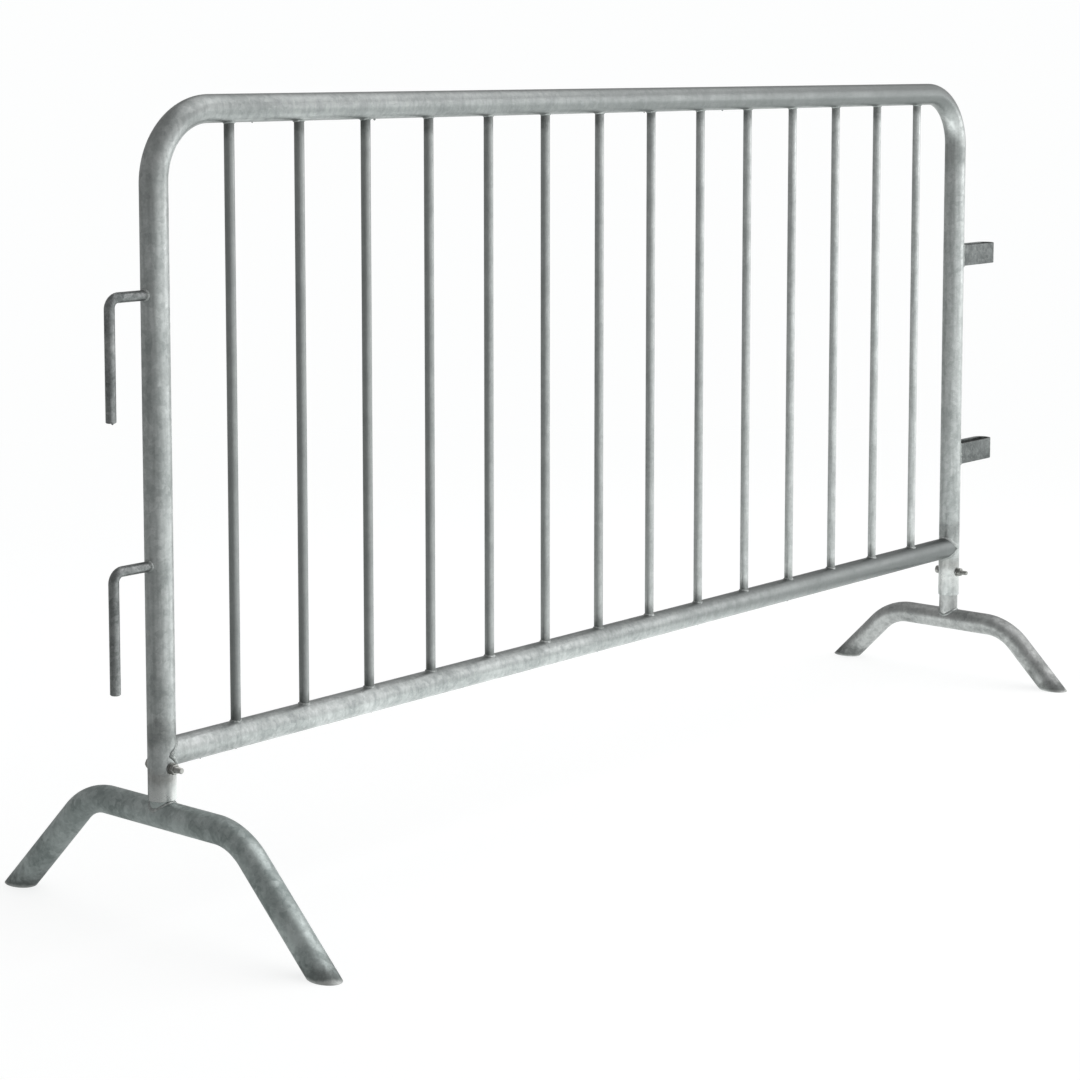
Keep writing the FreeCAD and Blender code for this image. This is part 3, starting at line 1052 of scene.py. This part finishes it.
drips("top_drips", hoop_zinc, "hoop", top_drops, 13)
hook_drops = []
for hook in ("hook_lower", "hook_upper"):
    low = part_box(hook)[0]
    hook_drops.append(Vector((low.x + hook_radius + 1.5 * MM, -1.0 * MM, low.z + SUNK_IN)))
drips("hook_drips", hook_zinc, "hook", hook_drops, 14)

# %% [markdown]
# ## Hexagons turned on a cone
# The head of a bolt and a nut are hexagons whose corners were turned down on a cone, which leaves a
# curved edge on every flat. Both follow from one formula for the hexagon's radius at each angle: the cone
# cuts deeper where that radius is larger. A ring about the bolt's axis takes its radius and its place
# from such formulas.

# %% Hexagons
FLATS = 13 * MM
HEX_SIDES = 48
FACE_RADIUS = 0.95 * FLATS / 2  # of the flat disc inside the cone
CONE_SLOPE = math.tan(math.radians(30))


def hexagon_radius(angle):
    """Distance from the axis to a hexagon's edge. Corners point along X."""
    return FLATS / 2 / math.cos(angle % (math.pi / 3) - math.pi / 6)


def turned_edge(y, way):
    """The place along Y where the cone leaves a flat, for a face at y whose outside is towards way."""
    return lambda angle: y - way * (hexagon_radius(angle) - FACE_RADIUS) * CONE_SLOPE


def steady(value):
    """The same value at every angle."""
    return lambda angle: value


def ring_about(node, radius_at, y_at):
    """A ring about the Y axis of a design node. Radius and place along Y may change with the angle."""
    centre = middle(node)
    ring = []
    for k in range(HEX_SIDES):
        angle = 2 * math.pi * k / HEX_SIDES
        radius = radius_at(angle)
        x, z = centre.x + radius * math.cos(angle), centre.z + radius * math.sin(angle)
        ring.append(Vector((x, y_at(angle), z)))
    return ring


print("the cone goes %.2f mm down the corners" % ((hexagon_radius(0) - FACE_RADIUS) * CONE_SLOPE / MM))

# %% [markdown]
# ## Bolts
# The design's bolts are plain rods, and a real one has a rolled thread. The thread is cut into the rings:
# each is a little further along the helix than the last, so the groove winds round the rod. It runs in
# gently under the head, and the rod's end is pointed so that the nut finds its way on.

# %% Bolts
BOLT_RADIUS = 4 * MM
THREAD_PITCH = 1.25 * MM
THREAD_DEPTH = 0.72 * MM
FLANK_SLOPE, CREST_OFFSET = 1.6, 0.25  # flat crests and roots, with a slope between them
RINGS_PER_TURN = 6
RUN_IN_RINGS = 18
POINT_LENGTH, POINT_DEPTH = 0.9 * MM, 0.7 * MM


def thread_radius(y, radius, fade):
    """The radius of a rolled thread at a place along Y, as a function of the angle."""
    def at(angle):
        phase = (y / THREAD_PITCH - angle / (2 * math.pi)) % 1.0
        depth = min(1.0, max(0.0, FLANK_SLOPE * abs(2 * phase - 1) - CREST_OFFSET))
        return radius - THREAD_DEPTH * fade * depth
    return at


def bolt(foot):
    """A full-thread bolt: head at the back, thread towards the front."""
    node = foot + "_bolt"
    low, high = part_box(node)
    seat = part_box(foot + "_back_washer")[1].y
    profile = [
        (steady(0.5 * MM), steady(high.y)),
        (steady(FACE_RADIUS), steady(high.y)),
        (hexagon_radius, turned_edge(high.y, 1)),
        (hexagon_radius, steady(seat)),
        (steady(BOLT_RADIUS), steady(seat)),
    ]
    steps = round((seat - low.y) / THREAD_PITCH * RINGS_PER_TURN)
    for k in range(1, steps + 1):
        y = seat + (low.y - seat) * k / steps
        run_in = min(1.0, k / RUN_IN_RINGS)
        point = max(0.0, 1 - (y - low.y) / POINT_LENGTH)
        groove = thread_radius(y, BOLT_RADIUS - POINT_DEPTH * point, run_in * (1 - point))
        profile.append((groove, steady(y)))
    return skin(foot + "_threaded_bolt", [ring_about(node, *station) for station in profile], sharp=28)


for foot in FEET:
    dress(bolt(foot), foot + "_bolt", plated, "fastener", foot + "_bolt")

# %% [markdown]
# ## Nuts
# A nut is turned on both faces, and its bore is countersunk at both ends. Its rings go round the section
# and close on themselves, so it is a true ring with a hole and not a capped plug.

# %% Nuts
BORE_RADIUS = 4.2 * MM
COUNTERSINK = 0.5 * MM


def nut(foot):
    """A hexagon nut with both faces turned and a countersunk bore."""
    node = foot + "_nut"
    front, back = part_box(node)[0].y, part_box(node)[1].y
    profile = [
        (steady(BORE_RADIUS), steady(front + COUNTERSINK)),
        (steady(BORE_RADIUS + COUNTERSINK), steady(front)),
        (steady(FACE_RADIUS), steady(front)),
        (hexagon_radius, turned_edge(front, -1)),
        (hexagon_radius, turned_edge(back, 1)),
        (steady(FACE_RADIUS), steady(back)),
        (steady(BORE_RADIUS + COUNTERSINK), steady(back)),
        (steady(BORE_RADIUS), steady(back - COUNTERSINK)),
    ]
    rings = [ring_about(node, *station) for station in profile]
    return skin(foot + "_hex_nut", rings, closed=True, sharp=28)


for foot in FEET:
    dress(nut(foot), foot + "_nut", plated, "fastener", foot + "_nut")

# %% [markdown]
# ## Floor
# A studio floor is pale and has no edge. This one is a wide sheet, and its shading fades, with distance
# from the barrier, into the same white as the surroundings, so that no horizon shows from any side. Near
# the barrier it takes a faint shadow.

# %% Floor
WHITE = (0.985, 0.99, 0.99, 1.0)
FLOOR_REACH = 30.0
FADE_FROM, FADE_TO = 1.2, 4.0
mesh = bpy.data.meshes.new("studio_floor")
sheet = bmesh.new()
bmesh.ops.create_grid(sheet, x_segments=12, y_segments=12, size=FLOOR_REACH)
sheet.to_mesh(mesh)
sheet.free()
floor = bpy.data.objects.new("studio_floor", mesh)
bpy.context.scene.collection.objects.link(floor)

floor_paint = bpy.data.materials.new("floor_paint")
floor_paint.use_nodes = True
tree = floor_paint.node_tree
paint = tree.nodes["Principled BSDF"]
for label, value in (
    ("Roughness", 0.9), ("Specular IOR Level", 0.1), ("Base Color", (0.30, 0.30, 0.30, 1)),
    ("Emission Color", WHITE), ("Emission Strength", 0.80),
):
    paint.inputs[label].default_value = value
ground = add(tree, "TexCoord").outputs["Object"]
seen = add(tree, "MixShader")
tree.links.new(remap(tree, vector(tree, "LENGTH", ground), FADE_FROM, FADE_TO), seen.inputs[0])
tree.links.new(paint.outputs[0], seen.inputs[1])
tree.links.new(add(tree, "Emission", Color=WHITE, Strength=1.0).outputs[0], seen.inputs[2])
floor.data.materials.append(floor_paint)
print("floor is", round(floor.dimensions.x), "m wide")

# %% [markdown]
# ## The floor that the metal mirrors
# A floor that is white all over would wash the shape out of every tube from below. The metal therefore
# mirrors another floor, which goes from dark to light towards the bright side of the studio, and is
# lighter again between the feet, where it fills the undersides of both rails. The camera doesn't see it:
# a Light Path node gives its rays the plain floor.

# %% Mirrored floor
BRIGHT_SIDE = Vector((0.72, -0.65, 0.24)).normalized()
FLOOR_DARK, FLOOR_BRIGHT, FLOOR_TURNS_OVER = 0.40, 1.30, 1.3
BETWEEN_FEET, BETWEEN_FROM, BETWEEN_TO = 0.9, 0.7, 1.1
NARROWED = (1.25, 1, 1)  # keeps the light patch short of the feet
along_light = vector(tree, "DOT_PRODUCT", ground, (BRIGHT_SIDE.x, BRIGHT_SIDE.y, 0))
graded = remap(tree, along_light, -FLOOR_TURNS_OVER, FLOOR_TURNS_OVER, FLOOR_DARK, FLOOR_BRIGHT)
from_middle = vector(tree, "LENGTH", vector(tree, "MULTIPLY", ground, NARROWED))
patch = remap(tree, from_middle, BETWEEN_FROM, BETWEEN_TO, BETWEEN_FEET, 0)
mirrored = add(tree, "Emission", Color=(0.97, 1.0, 0.99, 1))
tree.links.new(calculate(tree, "ADD", graded, patch), mirrored.inputs["Strength"])
choice = add(tree, "MixShader")
tree.links.new(add(tree, "LightPath").outputs["Is Camera Ray"], choice.inputs[0])
tree.links.new(mirrored.outputs[0], choice.inputs[1])
tree.links.new(seen.outputs[0], choice.inputs[2])
tree.links.new(choice.outputs[0], tree.nodes["Material Output"].inputs["Surface"])
print("the mirrored floor goes from", FLOOR_DARK, "to", FLOOR_BRIGHT)

# %% [markdown]
# ## Surroundings
# Zinc mirrors whatever stands around it, so the light is mostly a question of what the tubes see. A wide
# bright side, low on the right in front of the panel, puts a light band on the right of every upright and
# fills both rails. The other side stays grey, which is why the feet, which look that way, come out darker
# than the panel.

# %% World
DARK_SIDE_GLOW, BRIGHT_SIDE_GLOW = 0.44, 1.35
GLOW_FROM, GLOW_TO = 0.42, 0.86  # how squarely a direction faces the bright side
world = bpy.data.worlds.new("studio")
world.use_nodes = True
bpy.context.scene.world = world
tree = world.node_tree
tree.nodes.clear()
facing = vector(tree, "DOT_PRODUCT", add(tree, "TexCoord").outputs["Generated"], BRIGHT_SIDE)
around = add(tree, "Background")
glow = remap(tree, facing, GLOW_FROM, GLOW_TO, DARK_SIDE_GLOW, BRIGHT_SIDE_GLOW)
tree.links.new(glow, around.inputs["Strength"])
which = add(tree, "MixShader")
tree.links.new(add(tree, "LightPath").outputs["Is Camera Ray"], which.inputs[0])
tree.links.new(around.outputs[0], which.inputs[1])
tree.links.new(add(tree, "Background", Color=WHITE, Strength=1.0).outputs[0], which.inputs[2])
tree.links.new(which.outputs[0], add(tree, "OutputWorld").inputs["Surface"])
bpy.context.scene.view_settings.view_transform = "Standard"
print("the surroundings glow from", DARK_SIDE_GLOW, "to", BRIGHT_SIDE_GLOW)

# %% [markdown]
# ## Soft boxes
# The surroundings carry the broad change of light, and two soft boxes sharpen it: a wide one overhead,
# which draws the shadow under the barrier, and a smaller one on the bright side.


# %% Soft boxes
def soft_box(name, place_at, aim_at, width, height, power):
    """A rectangular area light."""
    light = bpy.data.lights.new(name, "AREA")
    light.shape = "RECTANGLE"
    light.size = width
    light.size_y = height
    light.energy = power
    lamp = bpy.data.objects.new(name, light)
    lamp.location = place_at
    lamp.rotation_euler = (Vector(aim_at) - Vector(place_at)).to_track_quat("-Z", "Y").to_euler()
    bpy.context.scene.collection.objects.link(lamp)


soft_box("overhead", (1.2, -0.6, 4.5), (0, 0, 0.3), 6.0, 5.0, 70)
soft_box("side", (3.6, -2.6, 1.6), (0, 0, 0.6), 2.4, 2.6, 26)
